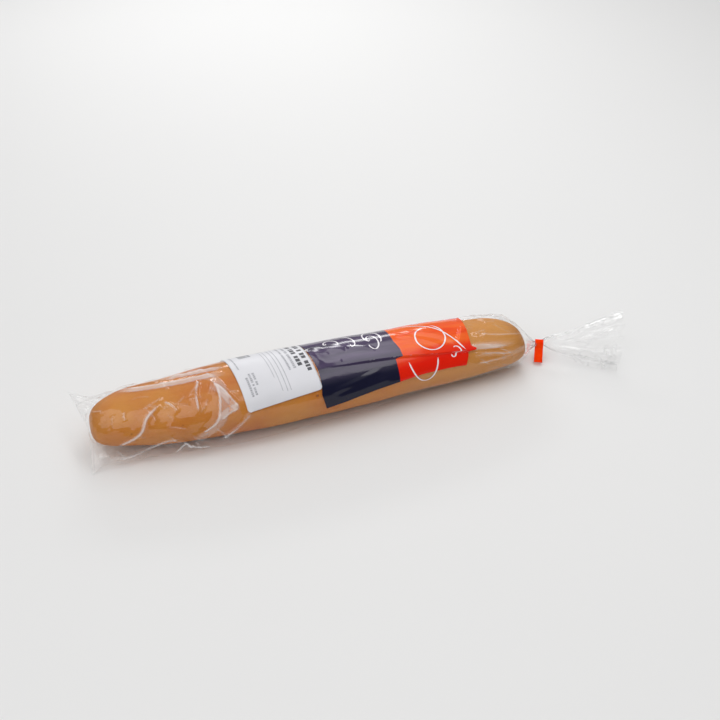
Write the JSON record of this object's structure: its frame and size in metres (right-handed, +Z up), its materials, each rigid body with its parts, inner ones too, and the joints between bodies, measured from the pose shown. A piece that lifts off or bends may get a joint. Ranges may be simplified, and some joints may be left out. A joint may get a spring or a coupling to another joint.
{
  "type": "baguette in a clear film bag",
  "caption": "Long crusty loaf packed in a clear film bag: welded flat at one end, printed round the middle with a paper label, gathered and closed by a tape at the other.",
  "frame": {"origin": "on the table, under the middle of the whole pack's bounding box", "axes": "+X along the pack from the bag's welded end to its open tail, +Z up, -Y the labelled front side"},
  "size_m": [0.59, 0.1264, 0.0711],
  "materials": {
    "crust": "matte",
    "clear_film": "gloss",
    "label_paper": "matte",
    "tape_film": "satin"
  },
  "bodies": {
    "root": {"loaf": "crust", "bag": "clear_film", "label": "label_paper", "neck_tape": "tape_film"}
  },
  "joints": []
}
